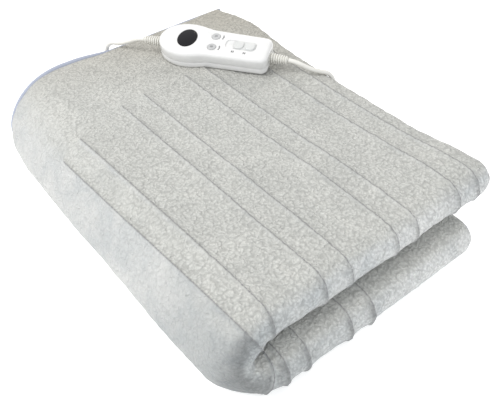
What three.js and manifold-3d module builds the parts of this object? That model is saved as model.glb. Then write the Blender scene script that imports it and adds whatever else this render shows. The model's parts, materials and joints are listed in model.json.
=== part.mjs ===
// A heated fleece blanket, folded in four, with its hand controller, blanket lead and mains lead.
// Millimetres, +Z up. The stack rests on z = 0 and its footprint is centred on the origin.
// The front folds face -Y, the left fold faces -X, and the hem lies at the back and on the right.
import * as THREE from 'three';
import { mergeVertices } from 'three/addons/utils/BufferGeometryUtils.js';
import Module from 'manifold-3d';

const wasm = await Module();
wasm.setup();

// ---- driving dimensions ----
const gap = 0.3; // left between pieces that lie against each other

// one ply of the blanket
const outerFleece = 7.5;
const carrierFelt = 1.5;
const wireDiameter = 2.4;
const innerFleece = 7.3;
const hemWidth = 4;

// the folded stack
const stackWidth = 352; // X, over the left fold and the right hem
const upperDepth = 474; // Y, from the front of the upper roll to the back hem
const rollStep = 22; // the lower roll stands this far forward of the upper one
const lowerSetback = 48; // the lower plies end this far short of the upper ones
const halfSlit = 1.2; // half the space between the upper and the lower plies
const foldBulgeFront = 52; // how far the left fold swells sideways, at its front end
const foldBulgeBack = 84; // and at its back end
const foldTaper = 26; // the left fold's back corner lies this much further in
const foldCornering = 8; // how late along the fold that corner comes in
const foldDroopFront = 5; // how far the fold sags under its own weight
const foldDroopBack = 24;

// hand controller
const caseLength = 140;
const headHalfWidth = 28.5;
const waistHalfWidth = 23;
const tailHalfWidth = 21.5;
const tailCorner = 9;
const caseHeight = 24;
const partingHeight = 10;
const caseWall = 2.2;
const topRound = 5;
const controllerPlace = { x: 82, y: 125.5, turn: -55, lean: 12 }; // it leans on its near long edge
const displayPlace = -34;
const displayHalfLength = 12.2;
const displayHalfWidth = 16;
const buttonPlace = 0;
const buttonSpread = 9.5;
const buttonRadius = 5.4;
const buttonTravel = 0.8;
const slotPlace = 34;
const slotLength = 38;
const slotWidth = 15;
const slotDepth = 1.2;
const knobLength = 28;
const knobHeight = 2.4;
const knobTravel = 8;
const stemLength = 8;
const stemWidth = 3.4;
const boardThickness = 1.6;
const boardHeight = 10.5; // underside of the circuit board above the case's own base
const boardHalfWidth = 17;
const screwRadius = 1.3;
const reliefLength = 22;
const reliefRadius = 6.4;
const reliefHeight = 11.5;

// leads
const cordDiameter = 5.5;
const hankRun = 110; // straight part of each turn
const hankFold = 16.5; // inner bend of each turn
const hankTurnsWide = 2;
const hankTurnsHigh = 3;
const hankPlace = { x: 66, y: 296 };
const tieWidth = 8;
const tieThickness = 1;
const leadEnd = 14; // between the hank and the plug's sleeve
const plugReliefLength = 20;
const plugLength = 34;
const plugWidth = 26;
const plugHeight = 14;
const pinLength = 19;
const pinSpacing = 19;
const pinRadius = 2;

// ---- worked out from them ----
const plyThickness = outerFleece + carrierFelt + wireDiameter + innerFleece + 3 * gap;
const pairThickness = 2 * (plyThickness + gap);
const rollRadius = pairThickness / 2;
const stackHeight = 2 * (pairThickness + halfSlit);
const rightEdge = stackWidth / 2 - hemWidth; // ends of the upper plies, inside their binding
const lowerEdge = rightEdge - lowerSetback;
const backEdge = (upperDepth + rollStep) / 2 - hemWidth;
const rollCentre = backEdge + hemWidth - upperDepth + rollRadius;
const cordRadius = cordDiameter / 2;
const straightSteps = 3; // stations along each straight stretch
const rollSteps = 10; // stations round the front roll
const foldSteps = 14; // stations round the left fold
const lastT = 2 * straightSteps + rollSteps;
const lastU = 2 * straightSteps + foldSteps;
const degree = Math.PI / 180;

const object = new THREE.Group();
const handset = new THREE.Group();
const handsetBase = stackHeight + gap + topRound
  + (headHalfWidth - topRound) * Math.sin(controllerPlace.lean * degree) - topRound * Math.cos(controllerPlace.lean * degree);
handset.position.set(controllerPlace.x, controllerPlace.y, handsetBase);
handset.rotation.set(controllerPlace.lean * degree, 0, controllerPlace.turn * degree, 'ZXY');
handset.updateMatrixWorld();
object.add(handset);

const finishes = {
  fleece: { color: 0xcdcec9, roughness: 0.95 },
  felt: { color: 0xe6e4dc, roughness: 0.95 },
  binding: { color: 0xb4bccb, roughness: 0.85 },
  heatingWire: { color: 0xd9c9a6, roughness: 0.6 },
  casing: { color: 0xf3f3f1, roughness: 0.25 },
  window: { color: 0x101114, roughness: 0.1 },
  button: { color: 0xb9bcbe, roughness: 0.4 },
  cord: { color: 0xf0ece0, roughness: 0.45 },
  board: { color: 0x2f6b3c, roughness: 0.5 },
  component: { color: 0x2b2b2e, roughness: 0.5 },
  capacitor: { color: 0xb8923a, roughness: 0.5 },
  metal: { color: 0xc4c4c4, roughness: 0.35, metalness: 1 },
};

function addPiece(name, geometry, finish, group = object) {
  const mesh = new THREE.Mesh(geometry, new THREE.MeshStandardMaterial(finishes[finish]));
  mesh.name = name;
  group.add(mesh);
  return mesh;
}

// ---- solids ----
function toSolid(geometry) {
  const bare = geometry.clone();
  bare.deleteAttribute('normal');
  bare.deleteAttribute('uv');
  const merged = mergeVertices(bare, 1e-4);
  return new wasm.Manifold(new wasm.Mesh({
    numProp: 3,
    vertProperties: new Float32Array(merged.attributes.position.array),
    triVerts: new Uint32Array(merged.index.array),
  }));
}

function toGeometry(solid) {
  const { vertProperties, triVerts } = solid.getMesh();
  const geometry = new THREE.BufferGeometry();
  geometry.setAttribute('position', new THREE.BufferAttribute(new Float32Array(vertProperties), 3));
  geometry.setIndex(new THREE.BufferAttribute(new Uint32Array(triVerts), 1));
  return geometry;
}

function cut(body, ...tools) {
  return toGeometry(tools.reduce((solid, tool) => solid.subtract(toSolid(tool)), toSolid(body)));
}

function join(first, ...others) {
  return toGeometry(others.reduce((solid, other) => solid.add(toSolid(other)), toSolid(first)));
}

function box([x0, y0, z0], [x1, y1, z1]) {
  const geometry = new THREE.BoxGeometry(x1 - x0, y1 - y0, z1 - z0);
  return geometry.translate((x0 + x1) / 2, (y0 + y1) / 2, (z0 + z1) / 2);
}

function post(radius, z0, z1, x = 0, y = 0, sides = 20) {
  const geometry = new THREE.CylinderGeometry(radius, radius, z1 - z0, sides).rotateX(Math.PI / 2);
  return geometry.translate(x, y, (z0 + z1) / 2);
}

function rod(radius, x0, x1, y, z, sides = 16) {
  const geometry = new THREE.CylinderGeometry(radius, radius, x1 - x0, sides).rotateZ(Math.PI / 2);
  return geometry.translate((x0 + x1) / 2, y, z);
}

function plate(shape, z0, z1, curveSegments = 8) {
  const options = { depth: z1 - z0, bevelEnabled: false, curveSegments };
  return new THREE.ExtrudeGeometry(shape, options).translate(0, 0, z0);
}

function roundedShape(length, width, corner, x = 0, y = 0) {
  const [a, b] = [length / 2 - corner, width / 2 - corner];
  const shape = new THREE.Shape();
  shape.absarc(x + a, y + b, corner, 0, Math.PI / 2);
  shape.absarc(x - a, y + b, corner, Math.PI / 2, Math.PI);
  shape.absarc(x - a, y - b, corner, Math.PI, 1.5 * Math.PI);
  shape.absarc(x + a, y - b, corner, 1.5 * Math.PI, 2 * Math.PI);
  return shape;
}

function ovalShape(halfLength, halfWidth, x) {
  const shape = new THREE.Shape();
  shape.absellipse(x, 0, halfLength, halfWidth, 0, 2 * Math.PI);
  return shape;
}

// ---- the folded sheet ----
// A place in it has a station u across (0 at the upper right edge, round the left fold, to the
// lower right edge), a station t along (0 at the upper hem, round the front roll, to the inner
// hem) and a depth d below the outer face. One pair of plies is bent round the left fold.
function straightOrBent(station, bentSteps) {
  if (station <= straightSteps) return { stretch: 0, share: station / straightSteps };
  if (station <= straightSteps + bentSteps) return { stretch: 1, share: (station - straightSteps) / bentSteps };
  return { stretch: 2, share: (station - straightSteps - bentSteps) / straightSteps };
}

function pairSection(t, d) {
  const { stretch, share } = straightOrBent(t, rollSteps);
  const crowded = (fromBack) => backEdge + (rollCentre - backEdge) * fromBack ** 1.5;
  if (stretch === 0) return { y: crowded(share), s: pairThickness - d };
  if (stretch === 2) return { y: crowded(1 - share), s: d };
  const radius = rollRadius - d;
  const angle = share * Math.PI;
  return { y: rollCentre - radius * Math.sin(angle), s: rollRadius + radius * Math.cos(angle) };
}

function foldAcross(u, { y, s }, beyond = 0) {
  const { stretch, share } = straightOrBent(u, foldSteps);
  const back = Math.min((y - rollCentre) / (backEdge - rollCentre), 1);
  const bulge = foldBulgeFront + (foldBulgeBack - foldBulgeFront) * back;
  const centre = -stackWidth / 2 + foldTaper * Math.max(back, 0) ** foldCornering + bulge;
  const droop = foldDroopFront + (foldDroopBack - foldDroopFront) * back;
  const reach = halfSlit + s;
  if (stretch === 0) {
    const x = rightEdge + beyond + (centre - rightEdge - beyond) * share;
    return new THREE.Vector3(x, y, stackHeight / 2 + reach);
  }
  if (stretch === 2) {
    const x = centre + (lowerEdge + beyond - centre) * share;
    return new THREE.Vector3(x, y - rollStep, stackHeight / 2 - reach);
  }
  const angle = share * Math.PI;
  const outward = (reach / (halfSlit + pairThickness)) * Math.sin(angle);
  const z = stackHeight / 2 + reach * Math.cos(angle) - droop * outward ** 3;
  return new THREE.Vector3(centre - outward * bulge, y - rollStep * share, z);
}

const sheetPlace = (u, t, d) => foldAcross(u, pairSection(t, d));

// a closed slab over a grid of places, from its outer skin (0) to its inner skin (1)
function slab(countU, countT, place) {
  const positions = [];
  const triangles = [];
  const at = (i, j, k) => (i * (countT + 1) + j) * 2 + k;
  for (let i = 0; i <= countU; i++) {
    for (let j = 0; j <= countT; j++) {
      for (const k of [0, 1]) positions.push(...place(i, j, k).toArray());
    }
  }
  const quad = (a, b, c, d) => triangles.push(a, b, c, a, c, d);
  for (let i = 0; i < countU; i++) {
    for (let j = 0; j < countT; j++) {
      quad(at(i, j, 0), at(i, j + 1, 0), at(i + 1, j + 1, 0), at(i + 1, j, 0));
      quad(at(i, j, 1), at(i + 1, j, 1), at(i + 1, j + 1, 1), at(i, j + 1, 1));
    }
    quad(at(i, 0, 0), at(i + 1, 0, 0), at(i + 1, 0, 1), at(i, 0, 1));
    quad(at(i, countT, 0), at(i, countT, 1), at(i + 1, countT, 1), at(i + 1, countT, 0));
  }
  for (let j = 0; j < countT; j++) {
    quad(at(0, j, 0), at(0, j, 1), at(0, j + 1, 1), at(0, j + 1, 0));
    quad(at(countU, j, 0), at(countU, j + 1, 0), at(countU, j + 1, 1), at(countU, j, 1));
  }
  // the skins' order decides which way the faces point: keep the enclosed volume positive
  const [a, b, c] = [new THREE.Vector3(), new THREE.Vector3(), new THREE.Vector3()];
  let volume = 0;
  for (let n = 0; n < triangles.length; n += 3) {
    [a, b, c].forEach((corner, m) => corner.fromArray(positions, triangles[n + m] * 3));
    volume += a.dot(b.cross(c));
  }
  const geometry = new THREE.BufferGeometry();
  geometry.setAttribute('position', new THREE.Float32BufferAttribute(positions, 3));
  geometry.setIndex(volume < 0 ? triangles.reverse() : triangles);
  return geometry;
}

function layer(depth, thickness) {
  return slab(lastU, lastT, (u, t, k) => sheetPlace(u, t, depth + k * thickness));
}

const feltDepth = outerFleece + gap;
const wireDepth = feltDepth + carrierFelt + gap + wireDiameter / 2;
const innerDepth = wireDepth + wireDiameter / 2 + gap;

function addSheet() {
  addPiece('outer_fleece', layer(0, outerFleece), 'fleece');
  addPiece('carrier_felt', layer(feltDepth, carrierFelt), 'felt');
  addPiece('inner_fleece', layer(innerDepth, innerFleece), 'fleece');
  // round the fold the plies' ends are a spiral, so the binding stands off by one of its steps
  const isBent = (u) => u >= straightSteps && u <= straightSteps + foldSteps;
  const standOff = (u) => gap + (isBent(u) ? rollStep / foldSteps : 0);
  const endHem = (outerSide) => slab(lastU, 1, (u, j, k) => {
    const y = backEdge + (j ? standOff(u) : hemWidth);
    const s = outerSide - k * plyThickness;
    return foldAcross(u, { y, s }, hemWidth);
  });
  addPiece('hem_outer_end', endHem(pairThickness), 'binding');
  addPiece('hem_inner_end', endHem(plyThickness), 'binding');
  const sideHem = (u, inner, outer) => slab(1, lastT, (i, t, k) => {
    const place = foldAcross(u, pairSection(t, k * plyThickness));
    return place.setX(place.x + (i === inner ? gap : hemWidth)) && place;
  });
  addPiece('hem_upper_side', sideHem(0, 1, 0), 'binding');
  addPiece('hem_lower_side', sideHem(lastU, 0, 1), 'binding');
}

// ---- the heating wire ----
// It runs up and down the sheet in stitched channels, turns in the margins next to the hems, and
// comes back along the upper hem, so that both its ends lie beside the connector.
class FacetedPath extends THREE.Curve {
  constructor(points) {
    super();
    this.points = points;
  }

  getPoint(share) {
    const place = Math.min(Math.max(share, 0), 1) * (this.points.length - 1);
    const from = Math.min(Math.floor(place), this.points.length - 2);
    return this.points[from].clone().lerp(this.points[from + 1], place - from);
  }

  getPointAt(share) {
    return this.getPoint(share);
  }

  getTangentAt(share) {
    return this.getTangent(share);
  }

  getSpacedPoints(divisions) {
    return this.getPoints(divisions);
  }
}

function tube(path, radius, steps, sides) {
  const section = new THREE.Shape();
  section.setFromPoints(Array.from({ length: sides }, (_, i) => {
    const angle = (2 * Math.PI * i) / sides;
    return new THREE.Vector2(radius * Math.cos(angle), radius * Math.sin(angle));
  }));
  return new THREE.ExtrudeGeometry(section, { steps, extrudePath: path });
}

function facetedSheetPlace(u, t) {
  const [u0, t0] = [Math.min(Math.floor(u), lastU - 1), Math.min(Math.floor(t), lastT - 1)];
  const near = sheetPlace(u0, t0, wireDepth).lerp(sheetPlace(u0, t0 + 1, wireDepth), t - t0);
  const far = sheetPlace(u0 + 1, t0, wireDepth).lerp(sheetPlace(u0 + 1, t0 + 1, wireDepth), t - t0);
  return near.lerp(far, u - u0);
}

function withStationCrossings(route) {
  const places = [route[0]];
  for (let i = 1; i < route.length; i++) {
    const [[u0, t0], [u1, t1]] = [route[i - 1], route[i]];
    const shares = [1];
    for (const [a, b] of [[u0, u1], [t0, t1]]) {
      for (let n = Math.ceil(Math.min(a, b)); n <= Math.max(a, b); n++) {
        if (a !== b) shares.push((n - a) / (b - a));
      }
    }
    shares.sort((a, b) => a - b);
    let last = 0;
    for (const share of shares) {
      if (share - last < 0.02 && share !== 1) continue;
      if (share <= 0.02) continue;
      places.push([u0 + (u1 - u0) * share, t0 + (t1 - t0) * share]);
      last = share;
      if (share === 1) break;
    }
  }
  return places;
}

function addHeatingWire() {
  const runs = [19.5, 18.6, 17.7, 14, 6, 2.3, 1.4, 0.5]; // stations across the sheet
  const margin = 0.6;
  const turnDepth = 0.22;
  const returnRun = 0.16;
  const route = [[runs[0], returnRun + 0.1]];
  runs.forEach((u, i) => {
    const ends = i % 2 ? [lastT - margin, margin] : [margin, lastT - margin];
    route.push([u, ends[0]], [u, ends[1]]);
    if (i === runs.length - 1) return;
    const side = i % 2 ? -1 : 1;
    const [middle, half] = [(u + runs[i + 1]) / 2, (u - runs[i + 1]) / 2];
    for (const angle of [30, 60, 90, 120, 150]) {
      const swing = side * turnDepth * Math.sin(angle * degree);
      route.push([middle + half * Math.cos(angle * degree), ends[1] + swing]);
    }
  });
  const lastRun = runs[runs.length - 1];
  route.push([lastRun, returnRun + 0.1], [lastRun + 0.1, returnRun], [lastU - 0.25, returnRun]);
  const points = withStationCrossings(route).map(([u, t]) => facetedSheetPlace(u, t));
  addPiece('heating_wire', tube(new FacetedPath(points), wireDiameter / 2, points.length - 1, 6), 'heatingWire');
}

// ---- hand controller ----
// Its own x runs from the display end to the blanket lead's end, and its base is at z = 0.
const caseTop = caseHeight;
const innerTop = caseHeight - caseWall;
const boardTop = boardHeight + boardThickness;
const partsFloor = boardTop + gap;
const caseHalf = caseLength / 2;

function caseOutline(inset) {
  const [tail, head] = [tailHalfWidth - inset, headHalfWidth - inset];
  const waist = waistHalfWidth - inset;
  const end = caseHalf - inset;
  const corner = tailCorner - inset;
  const headCentre = displayPlace;
  const headReach = end + headCentre;
  const round = 0.5523; // handle length that makes a quarter curve nearly elliptical
  const shape = new THREE.Shape();
  shape.moveTo(end, -tail + corner);
  shape.lineTo(end, tail - corner);
  shape.bezierCurveTo(end, tail - corner * (1 - round), end - corner * (1 - round), tail, end - corner, tail);
  shape.lineTo(0, waist);
  shape.bezierCurveTo(-14, waist + 0.5, -18, head, headCentre, head);
  shape.bezierCurveTo(headCentre - headReach * round, head, -end, head * round, -end, 0);
  shape.bezierCurveTo(-end, -head * round, headCentre - headReach * round, -head, headCentre, -head);
  shape.bezierCurveTo(-18, -head, -14, -waist - 0.5, 0, -waist);
  shape.lineTo(end - corner, -tail);
  shape.bezierCurveTo(end - corner * (1 - round), -tail, end, -tail + corner * (1 - round), end, -tail + corner);
  return shape;
}

function caseBlock(inset, round) {
  const options = {
    depth: caseHeight - 2 * inset - 2 * round,
    bevelEnabled: true, bevelThickness: round, bevelSize: round, bevelOffset: -round, bevelSegments: 3,
    curveSegments: 6,
  };
  return new THREE.ExtrudeGeometry(caseOutline(inset), options).translate(0, 0, inset + round);
}

// the display end is rounded, so its wall falls away from the edge of the relief's collar
const noseSag = (caseHalf + displayPlace)
  * (1 - Math.sqrt(1 - ((reliefRadius + 1) / (headHalfWidth - caseWall)) ** 2));
const collar = 1.5;
const bosses = [[-50, 14], [-50, -14], [59, 13], [59, -13]];
const standoffs = [[-28, 15], [-28, -15], [38, 15], [38, -15]];
const bossRadius = 3.2;
const screwHeadRadius = 2.5;
const screwHeadDepth = 2.2;
const screwRecess = 3;
const slotStem = { x: slotPlace + (slotLength - knobLength) / 2 - gap, reach: knobTravel };

function addCase() {
  const wide = 200;
  const outer = toSolid(caseBlock(0, topRound));
  const shell = outer.subtract(toSolid(caseBlock(caseWall, topRound - caseWall)));
  const below = toSolid(box([-wide, -wide, -wide], [wide, wide, partingHeight]));
  const above = toSolid(box([-wide, -wide, partingHeight + gap], [wide, wide, wide]));
  const glandHole = (side) => rod(
    reliefRadius - 1.2, side * caseHalf - 6, side * caseHalf + 6, 0, reliefHeight, 20);
  const holes = [glandHole(1), glandHole(-1)].map(toSolid);

  let top = shell.intersect(above);
  for (const [x, y] of bosses) {
    top = top.add(toSolid(post(bossRadius, partingHeight + gap, innerTop + 0.5, x, y, 16)));
    top = top.subtract(toSolid(post(screwRadius + gap, 0, innerTop - 4, x, y, 16)));
  }
  const window = plate(ovalShape(displayHalfLength, displayHalfWidth, displayPlace), innerTop - 1, caseTop + 1);
  top = top.subtract(toSolid(window));
  for (const side of [1, -1]) {
    const hole = post(buttonRadius + gap, innerTop - 1, caseTop + 1, buttonPlace, side * buttonSpread, 24);
    top = top.subtract(toSolid(hole));
  }
  const well = roundedShape(slotLength, slotWidth, 5, slotPlace);
  top = top.subtract(toSolid(plate(well, caseTop - slotDepth, caseTop + 1)));
  const stemFrom = slotStem.x - stemLength / 2 - slotStem.reach - gap;
  const stemTo = slotStem.x + stemLength / 2 + gap;
  const stemHalf = stemWidth / 2 + gap;
  top = top.subtract(toSolid(box([stemFrom, -stemHalf, innerTop - 1], [stemTo, stemHalf, caseTop])));

  let bottom = shell.intersect(below);
  for (const [x, y] of bosses) {
    bottom = bottom.add(toSolid(post(bossRadius + 1, caseWall - 0.5, partingHeight - 0.5, x, y, 16)));
    bottom = bottom.subtract(toSolid(post(screwHeadRadius + gap, -1, screwRecess, x, y, 16)));
    bottom = bottom.subtract(toSolid(post(screwRadius + gap, -1, caseHeight, x, y, 16)));
  }
  for (const [x, y] of standoffs) {
    bottom = bottom.add(toSolid(post(2, caseWall - 0.5, boardHeight - gap, x, y, 10)));
  }
  for (const hole of holes) {
    top = top.subtract(hole);
    bottom = bottom.subtract(hole);
  }
  addPiece('case_top', toGeometry(top), 'casing', handset);
  addPiece('case_bottom', toGeometry(bottom), 'casing', handset);
  bosses.forEach(([x, y], i) => {
    const headTop = screwRecess - gap;
    const head = post(screwHeadRadius, headTop - screwHeadDepth, headTop, x, y, 16);
    const shank = post(screwRadius, headTop - 0.5, innerTop - 6, x, y, 12);
    addPiece(`case_screw_${i + 1}`, join(head, shank), 'metal', handset);
  });
}

function addDisplay() {
  const flange = ovalShape(displayHalfLength + 1.5, displayHalfWidth + 1.5, displayPlace);
  const lens = ovalShape(displayHalfLength - gap, displayHalfWidth - gap, displayPlace);
  const flangeTop = innerTop - gap;
  const body = join(plate(flange, flangeTop - 1.2, flangeTop), plate(lens, flangeTop - 0.5, caseTop));
  addPiece('display_window', body, 'window', handset);
  const reach = displayHalfLength - 1;
  const moduleTop = flangeTop - 1.2 - gap;
  const module = box([displayPlace - reach, -14, partsFloor], [displayPlace + reach, 14, moduleTop]);
  addPiece('display_module', module, 'component', handset);
}

function addButton(name, side) {
  const y = side * buttonSpread;
  const flangeTop = innerTop - gap;
  const cap = post(buttonRadius, flangeTop - 0.5, caseTop + buttonTravel, buttonPlace, y, 24);
  const flange = post(buttonRadius + 1.1, flangeTop - 1, flangeTop, buttonPlace, y, 24);
  const switchTop = partsFloor + 3.5;
  const plungerTop = switchTop + 0.8;
  const stem = post(1.8, plungerTop + gap + buttonTravel, flangeTop - 0.5, buttonPlace, y, 12);
  addPiece(`${name}_button`, join(cap, flange, stem), 'button', handset);
  const body = box([buttonPlace - 3, y - 3, partsFloor], [buttonPlace + 3, y + 3, switchTop]);
  const plunger = post(1.7, switchTop - 0.5, plungerTop, buttonPlace, y, 12);
  addPiece(`${name}_tact_switch`, join(body, plunger), 'component', handset);
}

function addSlideSwitch() {
  const floor = caseTop - slotDepth + gap;
  const x = slotStem.x;
  const top = floor + knobHeight;
  const base = plate(roundedShape(knobLength, slotWidth - 2 * gap, 5, x), floor, floor + 1);
  const hump = (centre) => plate(roundedShape(11.5, slotWidth - 2, 4.5, centre), floor + 0.5, top);
  const switchTop = partsFloor + 5.6;
  const stemFoot = switchTop - 2.5;
  const stem = box([x - stemLength / 2, -stemWidth / 2, stemFoot], [x + stemLength / 2, stemWidth / 2, floor + 0.5]);
  addPiece('slide_knob', join(base, hump(x - 7), hump(x + 7), stem), 'casing', handset);
  const reach = stemLength / 2 + 4;
  const body = box([x - reach - knobTravel, -5, partsFloor], [x + reach, 5, switchTop]);
  const track = box(
    [x - stemLength / 2 - knobTravel - gap, -stemWidth / 2 - gap, stemFoot - gap],
    [x + stemLength / 2 + gap, stemWidth / 2 + gap, switchTop + 1]);
  addPiece('slide_switch_body', cut(body, track), 'component', handset);
}

function addBoard() {
  const ends = [displayPlace - displayHalfLength, caseHalf - 18];
  const board = box([ends[0], -boardHalfWidth, boardHeight], [ends[1], boardHalfWidth, boardTop]);
  addPiece('circuit_board', board, 'board', handset);
  const terminalLength = 12;
  const terminalTop = boardHeight - gap;
  const block = (x) => box([x, -7, terminalTop - 7], [x + terminalLength, 7, terminalTop]);
  addPiece('mains_terminals', block(ends[0] + 2), 'component', handset);
  addPiece('blanket_terminals', block(ends[1] - 2 - terminalLength), 'component', handset);
  const tail = (side, from, wall) => {
    const end = side * (caseHalf - wall - 2 * gap - collar);
    const points = [[from, terminalTop - 3.5], [from + side * 5, terminalTop - 3.3],
      [end - side * 4, reliefHeight - 0.6], [end, reliefHeight]];
    const path = new THREE.CatmullRomCurve3(points.map(([x, z]) => new THREE.Vector3(x, 0, z)));
    return tube(path, 2, 8, 8);
  };
  addPiece('mains_lead_tail', tail(-1, ends[0] + 2 - gap, caseWall + noseSag), 'cord', handset);
  addPiece('blanket_lead_tail', tail(1, ends[1] - 2 + gap, caseWall), 'cord', handset);
  addPiece('triac', box([-19, -15, partsFloor], [-14.5, -5, partsFloor + 8]), 'component', handset);
  const sink = box([-14.2, -15, partsFloor], [-9, -5, partsFloor + 8]);
  const finSpace = (y) => box([-12.7, y, partsFloor - 1], [-8, y + 2, partsFloor + 9]);
  addPiece('heatsink', cut(sink, finSpace(-13.5), finSpace(-10.5), finSpace(-7.5)), 'metal', handset);
  addPiece('suppressor_capacitor', box([-19, 4, partsFloor], [-9, 15, partsFloor + 7]), 'capacitor', handset);
  addPiece('thermal_fuse', rod(2.5, 18, 38, 10.5, partsFloor + 2.5, 12), 'component', handset);
}

// A ribbed sleeve that tapers away from the casing, with a neck through the wall and a collar
// behind it. It points along +x from the wall's outer face at x = 0.
function reliefGeometry(rootRadius, length, ribs, wall) {
  const tipRadius = cordRadius + 0.9;
  const groove = 1;
  const pitch = length / (ribs + 0.5);
  const neck = rootRadius - 1.2 - gap;
  const inner = -wall - gap - collar;
  const profile = [[0, inner], [neck + 1.8, inner], [neck + 1.8, -wall - gap],
    [neck, -wall - gap], [neck, gap]];
  for (let i = 0; i < ribs; i++) {
    const radius = rootRadius + (tipRadius - rootRadius) * (i / ribs);
    profile.push([radius, gap + i * pitch], [radius, gap + (i + 0.55) * pitch]);
    profile.push([radius - groove, gap + (i + 0.55) * pitch], [radius - groove, gap + (i + 1) * pitch]);
  }
  profile.push([tipRadius, gap + ribs * pitch], [tipRadius, length], [0, length]);
  const points = profile.map(([r, along]) => new THREE.Vector2(r, along));
  return new THREE.LatheGeometry(points, 14).rotateZ(-Math.PI / 2);
}

function addReliefs() {
  for (const [name, side, wall] of [['mains', -1, caseWall + noseSag], ['blanket', 1, caseWall]]) {
    const relief = addPiece(
      `${name}_strain_relief`, reliefGeometry(reliefRadius, reliefLength, 6, wall), 'cord', handset);
    relief.position.set(side * caseHalf, 0, reliefHeight);
    relief.rotation.z = side < 0 ? Math.PI : 0;
  }
}

// ---- connector where the blanket lead enters the blanket ----
const socketPlace = { y: 176, z: 13 };
const socketStart = lowerEdge + hemWidth + gap;
const socketLength = 20;
const socketWidth = 26;
const socketHeight = 12;
const leadPlugLength = 18;
const leadPlugStart = socketStart + socketLength + gap;
const leadPlugRelief = 14;

function addConnector() {
  const { y, z } = socketPlace;
  const housing = (x0, x1, width, height) => {
    const shape = roundedShape(width, height, 3.5);
    const block = plate(shape, 0, x1 - x0, 4).rotateX(Math.PI / 2).rotateZ(Math.PI / 2);
    return block.translate(x0, y, z);
  };
  const boreDepth = 12;
  const socketEnd = socketStart + socketLength;
  const bores = [-1, 1].map((side) => rod(2.2, socketEnd - boreDepth, socketEnd + 2, y + side * 5, z, 12));
  addPiece('blanket_socket', cut(housing(socketStart, socketEnd, socketWidth, socketHeight), ...bores), 'casing');
  const start = leadPlugStart;
  const body = housing(start, start + leadPlugLength, socketWidth - 4, socketHeight - 1);
  const pins = [-1, 1].map((side) => rod(1.4, start - boreDepth + 2, start + 1, y + side * 5, z, 10));
  addPiece('blanket_lead_plug', join(body, ...pins), 'casing');
  const sleeve = new THREE.CylinderGeometry(cordRadius + 0.8, cordRadius + 2.2, leadPlugRelief, 12);
  sleeve.rotateZ(-Math.PI / 2);
  const middle = start + leadPlugLength + gap + leadPlugRelief / 2;
  addPiece('blanket_plug_sleeve', sleeve.translate(middle, y, z), 'cord');
  const tab = box(
    [socketStart, y - 20, z + socketHeight / 2 + gap],
    [socketStart + 14, y + 20, z + socketHeight / 2 + gap + 2]);
  addPiece('connector_tab', tab, 'binding');
}

// ---- leads ----
function reliefTip(side) {
  const reach = side * (caseHalf + reliefLength + 2 * gap);
  return new THREE.Vector3(reach, 0, reliefHeight).applyMatrix4(handset.matrixWorld).toArray();
}

// Points in millimetres, chosen by hand: off the controller, over the back hem, down to the
// floor and into the hank.
const mainsRoute = [
  [23.4, 205.2, 98.0], [18.8, 212.2, 95.2], [13.8, 220.2, 91.2], [9.4, 229.0, 87.6], [5.6, 238.4, 85.6],
  [1.6, 248.8, 85.2], [-2.6, 259.0, 82.6], [-7.4, 267.4, 76.2], [-12.6, 272.2, 66.0], [-18.0, 273.6, 54.0],
  [-23.2, 273.8, 42.0], [-27.0, 274.0, 31.0], [-26.8, 274.0, 20.6], [-21.8, 274.0, 10.6], [-13.8, 274.0, 4.6],
  [-5.0, 274.0, 3.0]];

// Off the controller, over the right side, down to the floor, forward, round and back along the
// right side to the connector.
const blanketRoute = [
  [136.6, 43.2, 98.0], [142.2, 36.2, 95.4], [148.8, 29.8, 91.6], [156.2, 25.0, 88.0], [164.0, 22.0, 85.8],
  [173.0, 20.2, 85.5], [182.0, 18.8, 83.0], [188.4, 17.4, 75.8], [191.4, 15.8, 65.4], [193.0, 13.4, 53.6],
  [194.4, 10.0, 41.0], [195.6, 5.0, 28.6], [196.2, -2.4, 17.6], [196.4, -12.6, 9.4], [196.2, -26.0, 4.6],
  [196.0, -40.0, 2.9], [197.6, -56.0, 2.9], [204.6, -69.8, 2.9], [217.6, -75.2, 2.9], [230.4, -69.4, 2.9],
  [237.0, -55.4, 2.9], [238.6, -36.0, 2.9], [238.6, -12.0, 2.9], [237.6, 14.0, 2.9], [236.4, 40.0, 2.9],
  [235.6, 66.0, 2.9], [235.4, 92.0, 2.9], [235.4, 118.0, 3.2], [234.0, 140.0, 5.0], [226.8, 158.6, 8.0],
  [213.6, 170.6, 11.0], [198.0, 175.6, 12.8]];

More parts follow.
